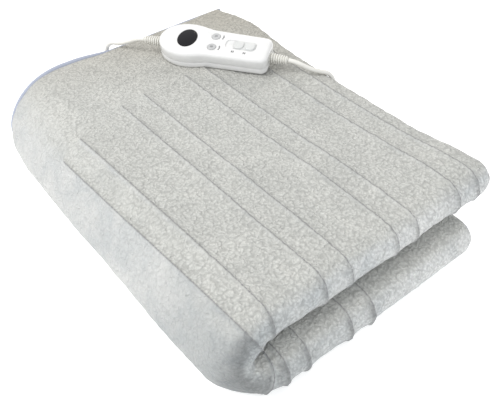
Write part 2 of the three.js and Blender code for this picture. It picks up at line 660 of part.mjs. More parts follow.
function addLeads() {
  const lead = (name, points, steps) => {
    const path = new THREE.CatmullRomCurve3(points.map((p) => new THREE.Vector3(...p)), false, 'centripetal');
    addPiece(name, tube(path, cordRadius, steps, 8), 'cord');
  };
  lead('mains_lead', [reliefTip(-1), ...mainsRoute], 26);
  const plugEnd = leadPlugStart + leadPlugLength + 2 * gap + leadPlugRelief;
  lead('blanket_lead', [reliefTip(1), ...blanketRoute, [plugEnd, socketPlace.y, socketPlace.z]], 48);

  const band = hankFold + (hankTurnsWide - 0.5) * cordDiameter;
  const outline = roundedShape(hankRun + 2 * band, 2 * band, band - 0.01, hankPlace.x, hankPlace.y);
  const hankHeight = hankTurnsHigh * cordDiameter;
  const hankEnd = hankPlace.x + hankRun / 2 + band;
  const hankBase = tieThickness + gap;
  addPiece('mains_lead_hank', plate(outline, hankBase, hankBase + hankHeight, 10), 'cord');
  const [holeWidth, holeHeight] = [2 * band + 2 * gap, hankHeight + 2 * gap];
  const around = 2 * tieThickness;
  const tie = plate(roundedShape(holeWidth + around, holeHeight + around, 1.5), 0, tieWidth, 3);
  const tieHole = plate(roundedShape(holeWidth, holeHeight, 0.5), -1, tieWidth + 1, 2);
  const loop = cut(tie, tieHole).rotateX(Math.PI / 2).rotateZ(Math.PI / 2);
  addPiece('hank_tie', loop.translate(hankPlace.x, hankPlace.y, holeHeight / 2 + tieThickness), 'component');

  // the last run leaves the hank straight on, along its side nearest the stack
  const plugY = hankPlace.y - band + cordRadius;
  const plugZ = plugHeight / 2;
  const reliefStart = hankEnd + leadEnd;
  const roundEnd = Math.sqrt(band ** 2 - (band - cordDiameter) ** 2);
  const tailStart = hankPlace.x + hankRun / 2 + roundEnd + gap;
  const tailPath = new THREE.CatmullRomCurve3([
    [tailStart, plugY, plugZ + 2], [hankEnd + leadEnd / 3, plugY, plugZ + 0.8],
    [hankEnd + leadEnd / 1.5, plugY, plugZ], [reliefStart, plugY, plugZ]].map((p) => new THREE.Vector3(...p)));
  addPiece('mains_lead_end', tube(tailPath, cordRadius, 4, 8), 'cord');
  const bodyStart = reliefStart + gap + plugReliefLength;
  const sleeve = new THREE.CylinderGeometry(cordRadius + 0.8, cordRadius + 2.8, plugReliefLength, 12);
  sleeve.rotateZ(Math.PI / 2);
  addPiece('plug_sleeve', sleeve.translate(reliefStart + gap + plugReliefLength / 2, plugY, plugZ), 'cord');
  const shoulder = 12;
  const bodyShape = new THREE.Shape();
  const from = bodyStart + gap;
  bodyShape.setFromPoints([[from, -7], [from + shoulder, -plugWidth / 2], [from + plugLength, -plugWidth / 2],
    [from + plugLength, plugWidth / 2], [from + shoulder, plugWidth / 2], [from, 7]]
    .map(([x, y]) => new THREE.Vector2(x, y + plugY)));
  const pinHoles = [-1, 1].map((side) => rod(
    pinRadius + 0.3, from + plugLength - 6, from + plugLength + 1, plugY + side * pinSpacing / 2, plugZ, 12));
  addPiece('mains_plug_body', cut(plate(bodyShape, 0, plugHeight), ...pinHoles), 'cord');
  [-1, 1].forEach((side, i) => {
    const start = from + plugLength - 6 + gap;
    const pin = rod(pinRadius, start, start + pinLength + 6, plugY + side * pinSpacing / 2, plugZ, 12);
    addPiece(`plug_pin_${i + 1}`, pin, 'metal');
  });
}

addSheet();
addHeatingWire();
addCase();
addDisplay();
addButton('heat', 1);
addButton('timer', -1);
addSlideSwitch();
addBoard();
addReliefs();
addConnector();
addLeads();

export default object;
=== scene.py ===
import json
import math

import bmesh
import bpy
import numpy as np
from mathutils import Matrix, Vector


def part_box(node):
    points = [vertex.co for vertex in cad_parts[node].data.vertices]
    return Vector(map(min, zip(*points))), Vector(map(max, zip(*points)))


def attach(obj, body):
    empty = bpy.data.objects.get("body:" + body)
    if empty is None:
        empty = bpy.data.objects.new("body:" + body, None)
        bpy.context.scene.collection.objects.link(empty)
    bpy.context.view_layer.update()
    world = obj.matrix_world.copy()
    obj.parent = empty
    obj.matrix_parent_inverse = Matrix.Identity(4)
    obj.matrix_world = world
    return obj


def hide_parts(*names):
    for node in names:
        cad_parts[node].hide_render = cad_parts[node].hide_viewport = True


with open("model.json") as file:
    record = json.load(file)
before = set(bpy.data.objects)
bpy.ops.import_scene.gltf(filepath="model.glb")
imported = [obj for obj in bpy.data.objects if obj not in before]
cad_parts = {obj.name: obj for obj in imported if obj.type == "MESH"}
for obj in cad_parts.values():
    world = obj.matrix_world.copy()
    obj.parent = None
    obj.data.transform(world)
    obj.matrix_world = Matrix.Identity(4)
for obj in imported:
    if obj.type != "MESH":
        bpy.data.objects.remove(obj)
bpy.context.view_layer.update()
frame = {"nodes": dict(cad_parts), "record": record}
nodes = frame["nodes"]
bpy.ops.object.select_all(action="DESELECT")
print("frame loaded:", len(nodes), "parts")


def newObject(name, points, faces):
    mesh = bpy.data.meshes.new(name)
    mesh.from_pydata([tuple(p) for p in points], [], [tuple(f) for f in faces])
    mesh.validate()
    mesh.shade_smooth()
    made = bpy.data.objects.new(name, mesh)
    bpy.context.scene.collection.objects.link(made)
    return made


def faceOutwards(obj):
    solid = bmesh.new()
    solid.from_mesh(obj.data)
    if solid.calc_volume(signed=True) < 0:
        bmesh.ops.reverse_faces(solid, faces=solid.faces)
        solid.to_mesh(obj.data)
    openEdges = sum(not edge.is_manifold for edge in solid.edges)
    print(obj.name, "has", len(solid.faces), "faces and", openEdges, "open edges")
    solid.free()


def unit(vectors):
    return vectors / np.maximum(np.linalg.norm(vectors, axis=-1, keepdims=True), 1e-12)


def smoothStep(x):
    x = np.clip(x, 0.0, 1.0)
    return x * x * (3 - 2 * x)


# even, seeded noise from -1 to 1, with lumps of the given size
def softNoise(a, b, size, seed):
    lattice = np.random.default_rng(seed).uniform(-1, 1, (256, 256))
    x, y = a / size + 37.3, b / size + 51.7
    i, j = np.floor(x).astype(int), np.floor(y).astype(int)
    fx, fy = smoothStep(x - i), smoothStep(y - j)
    low = lattice[i % 256, j % 256] * (1 - fx) + lattice[(i + 1) % 256, j % 256] * fx
    high = lattice[i % 256, (j + 1) % 256] * (1 - fx) + lattice[(i + 1) % 256, (j + 1) % 256] * fx
    return low * (1 - fy) + high * fy


cameraSizes = dict(
    place=(-0.3597, -0.4877, 0.5258),
    azimuth=-38.97,
    elevation=42.05,
    lens=49.7,
)


def addCamera(c):
    bpy.ops.object.camera_add(location=c["place"])
    camera = bpy.context.object
    camera.rotation_euler = (math.radians(90 - c["elevation"]), 0, math.radians(c["azimuth"]))
    camera.data.lens = c["lens"]
    camera.data.sensor_width = 36
    camera.data.clip_start = 0.01
    bpy.context.scene.camera = camera


addCamera(cameraSizes)


cordSizes = dict(
    diameter=0.0055,
    hankX=0.066,
    hankY=0.296,
    hankBase=0.0013,
    run=0.110,
    fold=0.0165,
)
controllerSizes = dict(
    x=0.082,
    y=0.1255,
    base=0.0873,
    turn=-55,
    lean=12,
    half=0.070,
    headHalf=0.0285,
    waistHalf=0.023,
    tailHalf=0.0215,
    tailCorner=0.009,
    height=0.024,
    parting=0.010,
    wall=0.0022,
    round=0.005,
    gap=0.0003,
    headCentre=-0.034,
    windowLong=0.0122,
    windowWide=0.016,
    buttonSpread=0.0095,
    buttonRadius=0.0054,
    buttonProud=0.0008,
    slotPlace=0.034,
    slotLong=0.038,
    slotWide=0.015,
    slotDeep=0.0012,
    knobLong=0.028,
    knobHigh=0.0024,
    reliefHigh=0.0115,
    reliefReach=0.0926,
    reliefLong=0.022,
    cableHole=0.0052,
    rimEdge=0.00035,
    stemSlot=(0.0165, 0.004, 0.0008),
    stemPlace=0.0348,
    dishShare=0.72,
    dishDeep=0.00018,
    labelPlace=0.0092,
    labelPitch=0.0026,
    inkHigh=0.00006,
)


def controllerFrame(c):
    turn = Matrix.Rotation(math.radians(c["turn"]), 4, "Z")
    lean = Matrix.Rotation(math.radians(c["lean"]), 4, "X")
    return Matrix.Translation((c["x"], c["y"], c["base"])) @ turn @ lean


# in millimetres: along the cloth, over its edge, and down to the floor
mainsRoute = [
    (23.4, 205.2, 98.0), (18.8, 212.2, 95.2), (14.0, 220.0, 91.2), (10.0, 227.6, 87.6),
    (6.4, 235.6, 85.2), (3.6, 241.8, 84.0), (2.0, 246.6, 81.2), (0.4, 250.6, 77.0),
    (-0.8, 252.6, 71.4), (-2.4, 254.0, 64.4), (-5.6, 257.2, 55.4), (-11.4, 262.0, 45.0),
    (-17.6, 267.0, 35.0), (-22.4, 271.4, 25.6), (-22.6, 273.6, 16.6), (-18.4, 274.0, 8.8),
    (-12.6, 274.0, 4.8), (-5.0, 274.0, 4.05)]
blanketRoute = [
    (136.6, 43.2, 98.0), (141.6, 36.4, 95.6), (147.4, 30.2, 91.8), (154.2, 25.2, 88.0),
    (161.2, 21.6, 85.2), (168.0, 18.8, 82.6), (173.8, 16.6, 78.0), (177.8, 15.0, 70.6),
    (180.6, 13.4, 61.0), (184.4, 11.0, 50.0), (188.4, 7.6, 38.6), (192.2, 2.6, 27.4),
    (194.6, -5.0, 17.0), (195.6, -15.0, 9.2), (196.0, -27.0, 4.6), (196.0, -40.0, 2.9),
    (197.6, -56.0, 2.9), (204.6, -69.8, 2.9), (217.6, -75.2, 2.9), (230.4, -69.4, 2.9),
    (237.0, -55.4, 2.9), (238.6, -36.0, 2.9), (238.6, -12.0, 2.9), (237.6, 14.0, 2.9),
    (236.4, 40.0, 2.9), (235.6, 66.0, 2.9), (235.4, 92.0, 2.9), (235.4, 118.0, 3.2),
    (234.0, 140.0, 5.0), (226.8, 158.6, 8.0), (213.6, 170.6, 11.0), (198.0, 175.6, 12.8)]


def reliefTip(side):
    c = controllerSizes
    return tuple(controllerFrame(c) @ Vector((side * c["reliefReach"], 0, c["reliefHigh"])))


def metres(points):
    return [tuple(v / 1000 for v in p) for p in points]


# two turns on the floor, two more on them, and a last run on top that leads straight out
def hankTurns(c):
    d = c["diameter"]
    inner, outer = c["fold"], c["fold"] + d
    half = c["run"] / 2
    level = [c["hankBase"] + d * (0.5 + n) for n in range(3)]
    # each turn: radius and height on the front run, after the back run, and after the left bend
    turns = [
        dict(start=(outer, 0), back=(outer, 0), backShift=0, end=(inner, 0), lateShift=True),
        dict(start=(inner, 0), back=(inner, 0), backShift=0, end=(inner, 1), lateShift=False),
        dict(start=(inner, 1), back=(outer, 1), backShift=2, end=(outer, 1), lateShift=False),
        dict(start=(outer, 1), back=(outer, 2), backShift=1, end=(outer, 2), lateShift=False),
    ]
    steps = 12
    points = []

    def put(x, radius, angle, height):
        across, aside = radius * math.cos(angle), radius * math.sin(angle)
        points.append((c["hankX"] + x + across, c["hankY"] + aside, height))

    for turn in turns:
        (r0, n0), (r1, n1), (r2, n2) = turn["start"], turn["back"], turn["end"]
        for i in range(steps):
            put(-half + c["run"] * i / steps, r0, -math.pi / 2, level[n0])
        for i in range(steps):
            put(half, r0, -math.pi / 2 + math.pi * i / steps, level[n0])
        for i in range(steps):
            share = i / steps
            part = {0: share, 1: share * 2, 2: share * 2 - 1}[turn["backShift"]]
            part = float(smoothStep(part))
            height = level[n0] + (level[n1] - level[n0]) * part
            put(half - c["run"] * share, r0 + (r1 - r0) * part, math.pi / 2, height)
        for i in range(steps):
            share = i / steps
            part = float(smoothStep(share * 2 - 1 if turn["lateShift"] else share * 2))
            height = level[n1] + (level[n2] - level[n1]) * part
            put(-half, r1 + (r2 - r1) * part, math.pi / 2 + math.pi * share, height)
    last = turns[-1]["end"]
    for i in range(steps):
        put(-half + c["run"] * 0.86 * i / steps, last[0], -math.pi / 2, level[last[1]])
    return points


# a smooth curve through the points, with its points evenly spaced
def smoothLine(points, step=0.0025):
    p = np.array(points)
    p = np.vstack([2 * p[0] - p[1], p, 2 * p[-1] - p[-2]])
    fine = []
    for k in range(1, len(p) - 2):
        a, b, c, d = p[k - 1], p[k], p[k + 1], p[k + 2]
        t1 = np.linalg.norm(b - a) ** 0.5
        t2 = t1 + np.linalg.norm(c - b) ** 0.5
        t3 = t2 + np.linalg.norm(d - c) ** 0.5
        for t in np.linspace(t1, t2, 8, endpoint=False):
            a1 = (a * (t1 - t) + b * t) / t1
            a2 = (b * (t2 - t) + c * (t - t1)) / (t2 - t1)
            a3 = (c * (t3 - t) + d * (t - t2)) / (t3 - t2)
            b1 = (a1 * (t2 - t) + a2 * t) / t2
            b2 = (a2 * (t3 - t) + a3 * (t - t1)) / (t3 - t1)
            fine.append((b1 * (t2 - t) + b2 * (t - t1)) / (t2 - t1))
    fine = np.array(fine + [p[-2]])
    along = np.concatenate([[0], np.cumsum(np.linalg.norm(np.diff(fine, axis=0), axis=1))])
    places = np.linspace(0, along[-1], max(int(along[-1] / step), 2))
    return np.stack([np.interp(places, along, fine[:, k]) for k in range(3)], 1), float(along[-1])


def addCord(name, points, diameter):
    line, length = smoothLine(points)
    curve = bpy.data.curves.new(name, "CURVE")
    curve.dimensions = "3D"
    # the points' radius carries the thickness, so that the cord's box is its own
    curve.bevel_depth = 1
    curve.bevel_resolution = 4
    curve.use_fill_caps = True
    spline = curve.splines.new("POLY")
    spline.points.add(len(line) - 1)
    for point, place in zip(spline.points, line):
        point.co = (*place, 1)
        point.radius = diameter / 2
    made = bpy.data.objects.new(name, curve)
    bpy.context.scene.collection.objects.link(made)
    print(name, "is", round(length, 3), "m long")
    return made


def addLeads(c):
    sleeveLow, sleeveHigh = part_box("plug_sleeve")
    middle = (sleeveLow + sleeveHigh) / 2
    leadOut = [
        (sleeveLow.x - 0.016, middle.y, middle.z + 0.0036),
        (sleeveLow.x - 0.006, middle.y, middle.z + 0.0006),
        (sleeveLow.x - 0.0003, middle.y, middle.z)]
    route = [reliefTip(-1), *metres(mainsRoute), *hankTurns(c), *leadOut]
    mains = addCord("mains_cord", route, c["diameter"])
    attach(mains, "blanket")
    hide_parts("mains_lead", "mains_lead_hank", "mains_lead_end")
    plugLow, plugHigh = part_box("blanket_plug_sleeve")
    end = (plugHigh.x + 0.0003, (plugLow.y + plugHigh.y) / 2, (plugLow.z + plugHigh.z) / 2)
    route = [reliefTip(1), *metres(blanketRoute), end]
    toBlanket = addCord("blanket_cord", route, c["diameter"])
    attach(toBlanket, "blanket")
    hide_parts("blanket_lead")
    return mains, toBlanket


mainsCord, blanketCord = addLeads(cordSizes)
print("leads made")

blanketSizes = dict(
    ply=0.0196,
    pair=0.0398,
    slit=0.0012,
    step=0.022,
    bulgeFront=0.054,
    bulgeBack=0.084,
    taper=0.020,
    cornerPuff=0.004,
    cornering=8,
    droopFront=0.016,
    droopBack=0.020,
    cornerRound=0.024,
    humpY=0.168,
    backHump=0.14,
    frontHump=0.07,
    leftSink=0.008,
    lowerPuff=0.005,
    overhang=0.004,
    across=0.690,
    lowerSetback=0.039,
    endTuck=(0.003, 0.0078),
    endRise=0.0055,
    endFade=0.026,
    tuckFade=0.010,
    hemReach=(0.003, 0.0012),
    sideThin=0.0115,
    sideFade=0.017,
    seamDepth=0.0022,
    seamWidth=0.0022,
    pillow=0.0014,
    lengthStep=0.0036,
    acrossStep=0.0052,
    stitch=0.0032,
    stitchPitch=0.0045,
    stitchRadius=0.00042,
    humpWidth=0.06,
    rollHump=0.035,
    rollWidth=0.055,
    rollReach=0.05,
    upperAcross=0.38,
    pillowReach=0.012,
    puckerPitch=0.0105,
    puckerHeight=0.00045,
    puckerReach=0.007,
    dentHalf=(0.078, 0.034),
    dentDeep=0.0006,
    tuckFrom=0.17,
    tuckOver=0.06,
)
# quilting seams: distance across from the upper right edge, and how far from the upper hem they start
seams = [
    (29, 124), (58, 124), (118, 126), (146, 126), (206, 128), (238, 134), (298, 152), (322, 156),
    (434, 190), (456, 190), (478, 190), (526, 190), (552, 190)]
sheetLow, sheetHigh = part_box("outer_fleece")


# what follows from where the cloth of the frame lies
def measureBlanket(b):
    b["rightX"], b["lowerX"] = sheetHigh.x + b["overhang"], sheetHigh.x - b["lowerSetback"]
    b["backY"], b["frontY"] = sheetHigh.y, sheetLow.y + b["step"]
    b["leftX"], b["middle"] = sheetLow.x, sheetHigh.z / 2
    b["rollY"] = b["frontY"] + b["pair"] / 2
    straight = b["backY"] - b["rollY"]
    b["along"] = 2 * straight + math.pi * b["pair"] / 2
    b["rollMiddle"] = b["along"] / 2


# v runs from the upper hem round the front roll to the inner hem, d is the depth under the outer face
def pairSection(v, d, b):
    radius = b["pair"] / 2
    straight = b["backY"] - b["rollY"]
    turn = np.clip((v - straight) / (math.pi * radius), 0, 1) * math.pi
    below = np.maximum(v - straight - math.pi * radius, 0)
    y = np.where(v < straight, b["backY"] - v, b["rollY"] - (radius - d) * np.sin(turn)) + below
    s = radius + (radius - d) * np.cos(turn)
    return y, s


# u runs from the upper right edge round the left fold to the lower right edge
def foldAcross(u, y, s, b):
    back = np.minimum((y - b["rollY"]) / (b["backY"] - b["rollY"]), 1)
    bulge = b["bulgeFront"] + (b["bulgeBack"] - b["bulgeFront"]) * back
    puff = b["cornerPuff"] * (1 - smoothStep(back / 0.5))
    centre = b["leftX"] - puff + b["taper"] * np.maximum(back, 0) ** b["cornering"] + bulge
    half = b["slit"] + b["pair"]
    upperRun = b["rightX"] - centre
    bend = math.pi * np.sqrt((bulge**2 + half**2) / 2)
    lowerRun = b["across"] - upperRun - bend
    angle = np.clip((u - upperRun) / bend, 0, 1) * math.pi
    lowerShare = np.maximum(u - upperRun - bend, 0) / lowerRun
    reach = b["slit"] + s
    side = np.maximum(bulge - (b["pair"] - s), 0.004)
    x = np.where(u < upperRun, b["rightX"] - u, centre - side * np.sin(angle))
    x = x + lowerShare * (b["lowerX"] - centre)
    z = b["middle"] + reach * np.cos(angle)
    right = smoothStep((x - 0.01) / 0.15)
    backHump = right * np.exp(-(((y - b["humpY"]) / b["humpWidth"]) ** 2))
    frontHump = right * np.exp(-(((y - b["frontY"] - b["rollHump"]) / b["rollWidth"]) ** 2))
    left = 1 - smoothStep((x + 0.12) / 0.16)
    z = z * (1 + b["backHump"] * backHump + b["frontHump"] * frontHump - b["leftSink"] * left)
    z = z + b["lowerPuff"] * frontHump * np.sin(math.pi * np.clip(z / (2 * b["middle"]), 0, 1))
    outward = np.clip((centre - x) / bulge, 0, 1.1)
    droop = (b["droopFront"] + (b["droopBack"] - b["droopFront"]) * back) * outward**3
    z = z - droop
    corner = b["cornerRound"] * outward**3 * np.exp(-(((y - b["frontY"]) / b["rollWidth"]) ** 2))
    return x, y - b["step"] * angle / math.pi + corner, z


def sheetPoint(u, v, d, b):
    return np.stack(foldAcross(u, *pairSection(v, d, b), b), -1)


def seamDistance(u, v, b):
    nearest = np.full(u.shape, 1.0)
    for place, start in seams:
        beyond = np.maximum(start / 1000 - v, 0)
        nearest = np.minimum(nearest, np.hypot(u - place / 1000, beyond))
    return nearest


# how far the fleece stands out: pillows between seams, puckers beside them, and soft unevenness
def quiltHeight(u, v, b):
    c = controllerSizes
    dx, dy = b["rightX"] - u - c["x"], b["backY"] - v - c["y"]
    turn = math.radians(c["turn"])
    along = dx * math.cos(turn) + dy * math.sin(turn)
    aside = dy * math.cos(turn) - dx * math.sin(turn)
    dentLong, dentWide = b["dentHalf"]
    under = smoothStep((dentLong - np.abs(along)) / 0.01) * smoothStep((dentWide - np.abs(aside)) / 0.01)
    distance = seamDistance(u, v, b)
    onRoll = np.exp(-(((v - b["rollMiddle"]) / b["rollReach"]) ** 2))
    upper = u < b["upperAcross"]  # the upper roll is drawn smoother than the lower one
    depth = b["seamDepth"] * (1 + np.where(upper, -0.5, -0.15) * onRoll)
    groove = -depth * np.exp(-((distance / b["seamWidth"]) ** 2))
    pillow = b["pillow"] * (1 - np.exp(-((distance / b["pillowReach"]) ** 2)))
    pillow = pillow * (1 + np.where(upper, -0.5, -0.1) * onRoll)
    wave = np.sin(v / b["puckerPitch"] * 2 * math.pi + 4 * softNoise(u, v, 0.03, 5))
    pucker = b["puckerHeight"] * wave * np.exp(-((distance / b["puckerReach"]) ** 2))
    uneven = 0.0014 * softNoise(u, v, 0.085, 11) + 0.0007 * softNoise(u, v, 0.034, 12)
    nap = 0.0003 * softNoise(u, v, 0.0125, 13) + 0.00045 * softNoise(u, v, 0.0062, 14)
    return groove + (pillow + pucker + uneven) * (1 - under) - b["dentDeep"] * under + nap


def acrossStations(b):
    stations = set(np.linspace(0, b["across"], int(b["across"] / b["acrossStep"])))
    near = np.array([0.7, 1.5, 2.6, 4.2]) / 1000
    for place, _ in seams:
        u = place / 1000
        stations = {s for s in stations if abs(s - u) > 0.0055}
        stations |= {u, *(u + near), *(u - near)}
    stations = np.array(sorted(s for s in stations if 0 <= s <= b["across"]))
    keep = np.concatenate([[True], np.diff(stations) > 0.0004])
    return stations[keep]


# at the upper and inner hems the outer skin tucks in over the binding towards the right
def tucked(u, pair, b):
    return pair[0] + (pair[1] - pair[0]) * (1 - smoothStep((u - b["tuckFrom"]) / b["tuckOver"]))


def endDepths(u, b):
    return tucked(u, b["endTuck"], b), b["ply"] - b["endRise"]


# the ply thins to its ends, and rounds over at its sides
def skinDepths(u, v, b):
    fade = tucked(u, (b["endFade"], b["tuckFade"]), b)
    end = 1 - smoothStep(np.minimum(v, b["along"] - v) / fade)
    side = np.clip(1 - np.minimum(u, b["across"] - u) / b["sideFade"], 0, 1)
    outer = endDepths(u, b)[0] * end
    outer = np.maximum(outer, b["sideThin"] * (1 - np.sqrt(np.maximum(1 - side**2, 0))))
    inner = b["ply"] - b["endRise"] * end * (1 - side) - 0.001 * side
    return outer, inner


def everyFew(count, step):
    return np.unique(np.concatenate([np.arange(0, count, step), [count - 1]]))


# fans that join an edge with many points to one that keeps only a few of them
def zipEdges(fine, picked, coarse, flip):
    faces = []
    for j in range(len(coarse) - 1):
        low, high = picked[j], picked[j + 1]
        half = (low + high) // 2
        fan = [(fine[i], fine[i + 1], coarse[j]) for i in range(low, half)]
        fan += [(fine[half], coarse[j + 1], coarse[j])]
        fan += [(fine[i], fine[i + 1], coarse[j + 1]) for i in range(half, high)]
        faces += [face[::-1] if flip else face for face in fan]
    return faces


def addBlanket(b):
    us = acrossStations(b)
    vs = np.linspace(0, b["along"], int(b["along"] / b["lengthStep"]))
    u, v = np.meshgrid(us, vs, indexing="ij")
    outer = sheetPoint(u, v, skinDepths(u, v, b)[0], b)
    normals = unit(np.cross(np.gradient(outer, axis=1), np.gradient(outer, axis=0)))
    outer = outer + normals * quiltHeight(u, v, b)[..., None]
    outer[..., 2] = np.maximum(outer[..., 2], 0.0002)
    iu, iv = everyFew(len(us), 5), everyFew(len(vs), 4)
    uc, vc = u[np.ix_(iu, iv)], v[np.ix_(iu, iv)]
    inner = sheetPoint(uc, vc, skinDepths(uc, vc, b)[1], b)
    n, m, nc, mc = len(us), len(vs), len(iu), len(iv)
    a = np.arange(n * m).reshape(n, m)
    c = n * m + np.arange(nc * mc).reshape(nc, mc)
    faces = [
        (a[i, j], a[i, j + 1], a[i + 1, j + 1], a[i + 1, j])
        for i in range(n - 1) for j in range(m - 1)]
    faces += [
        (c[i, j], c[i + 1, j], c[i + 1, j + 1], c[i, j + 1])
        for i in range(nc - 1) for j in range(mc - 1)]
    faces += zipEdges(a[0], iv, c[0], True)
    faces += zipEdges(a[-1], iv, c[-1], False)
    faces += zipEdges(a[:, 0], iu, c[:, 0], False)
    faces += zipEdges(a[:, -1], iu, c[:, -1], True)
    points = np.vstack([outer.reshape(-1, 3), inner.reshape(-1, 3)])
    made = newObject("quilted_fleece", points, [tuple(int(k) for k in f) for f in faces])
    seam = made.data.attributes.new("seam", "FLOAT", "POINT")
    near = np.concatenate([seamDistance(u, v, b).ravel(), np.ones(nc * mc)])
    seam.data.foreach_set("value", near.astype(np.float32))
    faceOutwards(made)
    return made, us, vs, outer, normals


# short dashes of thread that lie in the grooves of the seams
def addStitches(us, vs, outer, normals, b):
    sides, points, faces = 5, [], []
    for place, start in seams:
        column = int(np.argmin(np.abs(us - place / 1000)))
        line, up = outer[column], normals[column]
        along = np.concatenate([[0], np.cumsum(np.linalg.norm(np.diff(line, axis=0), axis=1))])
        first = np.interp(start / 1000 + 0.002, vs, along)
        for middle in np.arange(first, along[-1] - 0.03, b["stitchPitch"]):
            reach = np.array([-0.5, -0.36, 0.36, 0.5]) * b["stitch"] + middle
            spine = np.stack([np.interp(reach, along, line[:, k]) for k in range(3)], 1)
            raised = np.array([np.interp(middle, along, up[:, k]) for k in range(3)])
            axis = unit(spine[-1] - spine[0])
            across = unit(np.cross(axis, raised))
            raised = np.cross(across, axis)
            spine = spine + raised * b["stitchRadius"] * np.array([-0.6, 0.5, 0.5, -0.6])[:, None]
            base = len(points)
            points.append(spine[0])
            for k in (1, 2):
                for turn in np.arange(sides) * 2 * math.pi / sides:
                    spoke = across * math.cos(turn) + raised * math.sin(turn)
                    points.append(spine[k] + spoke * b["stitchRadius"])
            points.append(spine[-1])
            for k in range(sides):
                n = (k + 1) % sides
                faces.append((base, base + 1 + k, base + 1 + n))
                faces.append((base + 1 + k, base + 1 + sides + k, base + 1 + sides + n, base + 1 + n))
                faces.append((base + 1 + 2 * sides, base + 1 + sides + n, base + 1 + sides + k))
    return newObject("quilting_thread", points, faces)


# a rounded tape that wraps one edge of the ply; edge gives u, v and the way out of the cloth
def addBinding(name, edge, section, b):
    u, v, du, dv = edge
    offset, halfDepth, outReach, inReach = section
    lip = 0.004
    turn = np.arange(14) * 2 * math.pi / 14
    c, sn = np.cos(turn), np.sin(turn)
    wide = (outReach + inReach) / 2
    out = wide * (np.sign(c) * np.abs(c) ** 0.75)[:, None] + (outReach - inReach) / 2
    deep = offset + halfDepth * (np.sign(sn) * np.abs(sn) ** 0.8)[:, None]
    ring = []
    for away, depths in zip(out, deep):
        at = sheetPoint(u, v, depths, b)
        within = sheetPoint(u - du * lip, v - dv * lip, depths, b)
        ring.append(at + unit(at - within) * away[:, None])
    rings = np.stack(ring, 1)
    rings[..., 2] = np.maximum(rings[..., 2], 0.0003)
    n, m = rings.shape[:2]
    index = np.arange(n * m).reshape(n, m)
    faces = [
        (index[i, k], index[i, (k + 1) % m], index[i + 1, (k + 1) % m], index[i + 1, k])
        for i in range(n - 1) for k in range(m)]
    faces += [tuple(index[0][::-1]), tuple(index[-1])]
    made = newObject(name, rings.reshape(-1, 3), [tuple(int(k) for k in f) for f in faces])
    faceOutwards(made)
    return made


def addBindings(b):
    across = np.linspace(0.001, b["across"] - 0.001, 116)
    along = np.linspace(0.002, b["along"] - 0.002, 160)
    high, low = endDepths(across, b)
    reach = tucked(across, b["hemReach"], b)
    ends = ((high + low) / 2, (low - high) / 2 + 0.0008, reach, 0.0052)
    shallow, deep = np.full(len(along), b["sideThin"]), b["ply"] - 0.001
    sides = ((shallow + deep) / 2, (deep - shallow) / 2 + 0.0003, np.full(len(along), 0.002), 0.005)
    pieces = [
        ("binding_outer_end", "hem_outer_end", (across, np.zeros_like(across), 0, -1), ends),
        ("binding_inner_end", "hem_inner_end", (across, np.full_like(across, b["along"]), 0, 1), ends),
        ("binding_upper_side", "hem_upper_side", (np.zeros_like(along), along, -1, 0), sides),
        ("binding_lower_side", "hem_lower_side", (np.full_like(along, b["across"]), along, 1, 0), sides)]
    made = []
    for name, node, edge, section in pieces:
        strip = addBinding(name, edge, section, b)
        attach(strip, "blanket")
        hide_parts(node)
        made.append(strip)
    return made


measureBlanket(blanketSizes)
quilt, acrossPlaces, alongPlaces, skin, skinNormals = addBlanket(blanketSizes)
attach(quilt, "blanket")
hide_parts("outer_fleece", "inner_fleece", "carrier_felt", "heating_wire")
bindings = addBindings(blanketSizes)
thread = addStitches(acrossPlaces, alongPlaces, skin, skinNormals, blanketSizes)
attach(thread, "blanket")
print("blanket made")


def curvePoints(p0, p1, p2, p3, count):
    t = (np.arange(count) / count)[:, None]
    a, b, c, d = (np.array(p, float) for p in (p0, p1, p2, p3))
    return a * (1 - t) ** 3 + 3 * b * (1 - t) ** 2 * t + 3 * c * (1 - t) * t**2 + d * t**3


# from above: a round display end, a waist, and a square tail with round corners
def caseOutline(c, inset):
    tail, head, waist = (c[k] - inset for k in ("tailHalf", "headHalf", "waistHalf"))
    end, corner, middle = c["half"] - inset, c["tailCorner"] - inset, c["headCentre"]
    reach, k = end + middle, 0.5523
    side = [
        curvePoints(
            (end, tail - corner), (end, tail - corner * (1 - k)), (end - corner * (1 - k), tail),
            (end - corner, tail), 8),
        curvePoints((end - corner, tail), (0.04, tail + 0.0006), (0.02, waist - 0.0004), (0, waist), 6),
        curvePoints((0, waist), (-0.014, waist + 0.0005), (-0.018, head), (middle, head), 12),
        curvePoints((middle, head), (middle - reach * k, head), (-end, head * k), (-end, 0), 14)]
    upper = np.vstack(side)
    lower = np.vstack([[[-end, 0]], (upper * (1, -1))[::-1]])
    return np.vstack([upper, lower])


def roundedOutline(long, wide, corner, x=0.0, y=0.0, steps=6):
    points = []
    for k, (sx, sy) in enumerate([(1, 1), (-1, 1), (-1, -1), (1, -1)]):
        for i in range(steps + 1):
            turn = math.pi / 2 * (k + i / steps)
            across = sx * (long / 2 - corner) + corner * math.cos(turn)
            points.append((x + across, y + sy * (wide / 2 - corner) + corner * math.sin(turn)))
    return np.array(points)


def ovalOutline(long, wide, x=0.0, y=0.0, steps=56):
    turn = np.arange(steps) * 2 * math.pi / steps
    return np.stack([x + long * np.cos(turn), y + wide * np.sin(turn)], 1)


